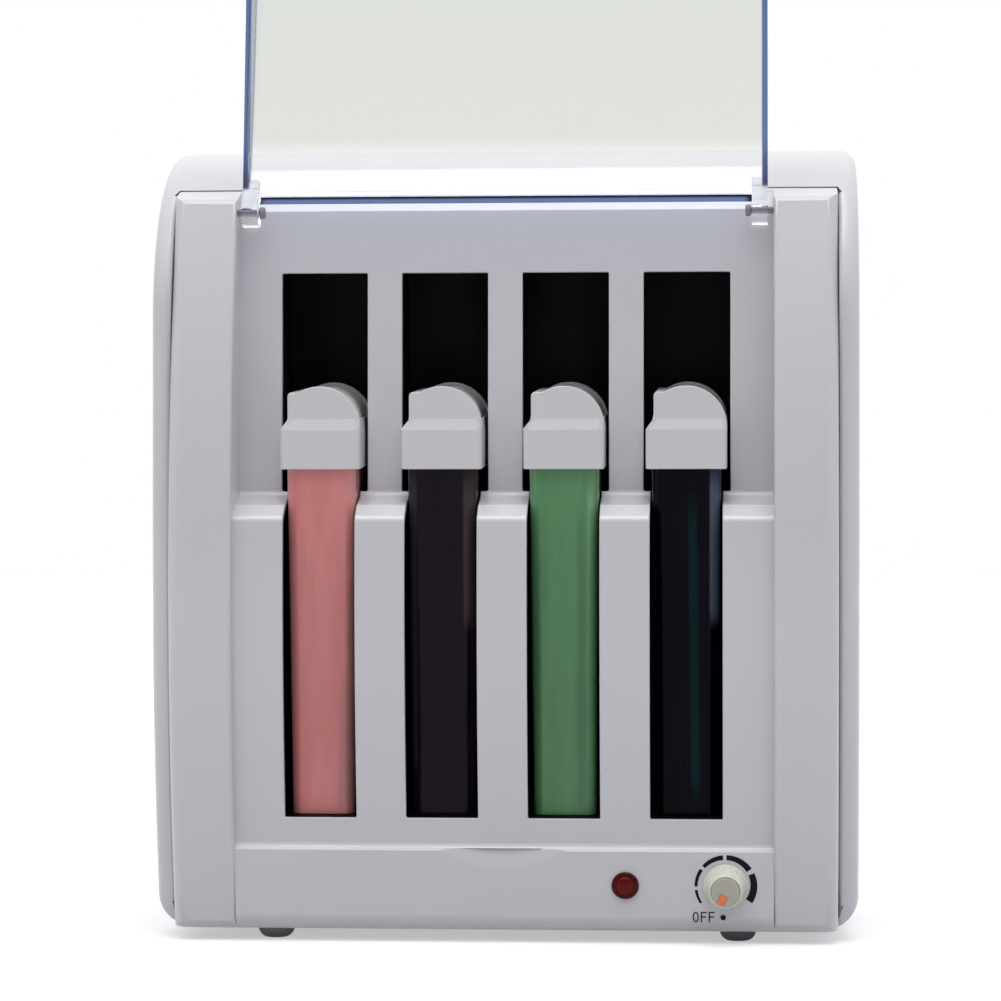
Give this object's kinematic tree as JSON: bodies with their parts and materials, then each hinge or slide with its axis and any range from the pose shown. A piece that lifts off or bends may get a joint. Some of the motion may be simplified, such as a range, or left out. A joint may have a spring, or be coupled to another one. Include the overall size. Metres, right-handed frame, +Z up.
{
  "type": "roll-on wax heater",
  "caption": "Upright table-top heater for roll-on wax cartridges: bowed front with open bays, thermostat dial, pilot lamp and a clear hinged lid, shown open.",
  "frame": {"origin": "on the table under the middle of the case, at the centre of the part's box", "axes": "+Z up, the front with the bays, lamp and dial faces -Y, +X to the right seen from the front"},
  "size_m": [0.248, 0.1315, 0.4762],
  "materials": {
    "shell": "smooth moulded gloss with a faint grain",
    "base": "fine matt grain",
    "clear_lid": "clear, polished, bluish at its edges",
    "pin": "smooth",
    "foot_rubber": "matt rubber",
    "screw_steel": "turned steel",
    "gland_rubber": "matt rubber",
    "heater_aluminium": "rolled sheet",
    "foil_copper": "amber film over an etched track",
    "ceramic": "unglazed ceramic",
    "lead_insulation": "smooth insulation",
    "lamp_red": "translucent red lens",
    "brass_nut": "turned brass",
    "knob_cream": "fine ribbed matt plastic",
    "knob_grey": "matt",
    "pointer_orange": "gloss insert",
    "well_black": "black, nearly matt",
    "head_white": "smooth moulded gloss",
    "axle_steel": "drawn wire",
    "roller_white": "smooth",
    "bottle_pink": "translucent moulded plastic, coloured by the wax inside",
    "wax_pink": "set wax",
    "bottle_aubergine": "translucent moulded plastic, coloured by the wax inside",
    "wax_aubergine": "set wax",
    "bottle_green": "translucent moulded plastic, coloured by the wax inside",
    "wax_green": "set wax",
    "bottle_navy": "translucent moulded plastic, coloured by the wax inside",
    "wax_navy": "set wax"
  },
  "bodies": {
    "case": {"rear_housing": "shell", "front_bezel": "shell", "hinge_pins": "pin", "base_plate": "base", "rubber_feet": "foot_rubber", "base_screws": "screw_steel", "cord_gland": "gland_rubber", "heat_spreader": "heater_aluminium", "heating_foil": "foil_copper", "spreader_screws": "screw_steel", "thermal_fuse": "ceramic", "terminal_block": "ceramic", "wiring": "lead_insulation", "pilot_lamp_lens": "lamp_red", "pilot_lamp_body": "ceramic", "thermostat_body": "ceramic", "thermostat_nut": "brass_nut", "heater_well_1": "well_black", "heater_well_2": "well_black", "heater_well_3": "well_black", "heater_well_4": "well_black"},
    "lid": {"lid": "clear_lid"},
    "dial": {"knob_skirt": "knob_cream", "knob_cap": "knob_grey", "knob_pointer": "pointer_orange", "thermostat_shaft": "screw_steel"},
    "cartridge_1": {"cartridge_bottle_1": "bottle_pink", "cartridge_wax_1": "wax_pink", "cartridge_head_1": "head_white", "cartridge_axle_1": "axle_steel"},
    "roller_1": {"cartridge_roller_1": "roller_white"},
    "cartridge_2": {"cartridge_bottle_2": "bottle_aubergine", "cartridge_wax_2": "wax_aubergine", "cartridge_head_2": "head_white", "cartridge_axle_2": "axle_steel"},
    "roller_2": {"cartridge_roller_2": "roller_white"},
    "cartridge_3": {"cartridge_bottle_3": "bottle_green", "cartridge_wax_3": "wax_green", "cartridge_head_3": "head_white", "cartridge_axle_3": "axle_steel"},
    "roller_3": {"cartridge_roller_3": "roller_white"},
    "cartridge_4": {"cartridge_bottle_4": "bottle_navy", "cartridge_wax_4": "wax_navy", "cartridge_head_4": "head_white", "cartridge_axle_4": "axle_steel"},
    "roller_4": {"cartridge_roller_4": "roller_white"}
  },
  "joints": [
    {"name": "lid_hinge", "type": "hinge", "parent": "case", "child": "lid", "pos_m": [0, -0.04725, 0.256], "axis": [-1, 0, 0], "range_deg": [-184, 0]},
    {"name": "dial_turn", "type": "hinge", "parent": "case", "child": "dial", "pos_m": [0.0775, -0.05303, 0.0207], "axis": [0, 0.99, 0.1411], "range_deg": [-24, 279]},
    {"name": "cartridge_1_lift", "type": "slide", "parent": "case", "child": "cartridge_1", "axis": [0, -0.866, 0.5], "range_m": [0, 0.07]},
    {"name": "cartridge_2_lift", "type": "slide", "parent": "case", "child": "cartridge_2", "axis": [0, -0.866, 0.5], "range_m": [0, 0.07]},
    {"name": "cartridge_3_lift", "type": "slide", "parent": "case", "child": "cartridge_3", "axis": [0, -0.866, 0.5], "range_m": [0, 0.07]},
    {"name": "cartridge_4_lift", "type": "slide", "parent": "case", "child": "cartridge_4", "axis": [0, -0.866, 0.5], "range_m": [0, 0.07]},
    {"name": "roller_1_spin", "type": "hinge", "parent": "cartridge_1", "child": "roller_1", "pos_m": [-0.0634, -0.03488, 0.1825], "axis": [0, 0.9976, 0.0698], "continuous": true},
    {"name": "roller_2_spin", "type": "hinge", "parent": "cartridge_2", "child": "roller_2", "pos_m": [-0.0208, -0.03488, 0.1825], "axis": [0, 0.9976, 0.0698], "continuous": true},
    {"name": "roller_3_spin", "type": "hinge", "parent": "cartridge_3", "child": "roller_3", "pos_m": [0.0218, -0.03488, 0.1825], "axis": [0, 0.9976, 0.0698], "continuous": true},
    {"name": "roller_4_spin", "type": "hinge", "parent": "cartridge_4", "child": "roller_4", "pos_m": [0.0644, -0.03488, 0.1825], "axis": [0, 0.9976, 0.0698], "continuous": true}
  ]
}
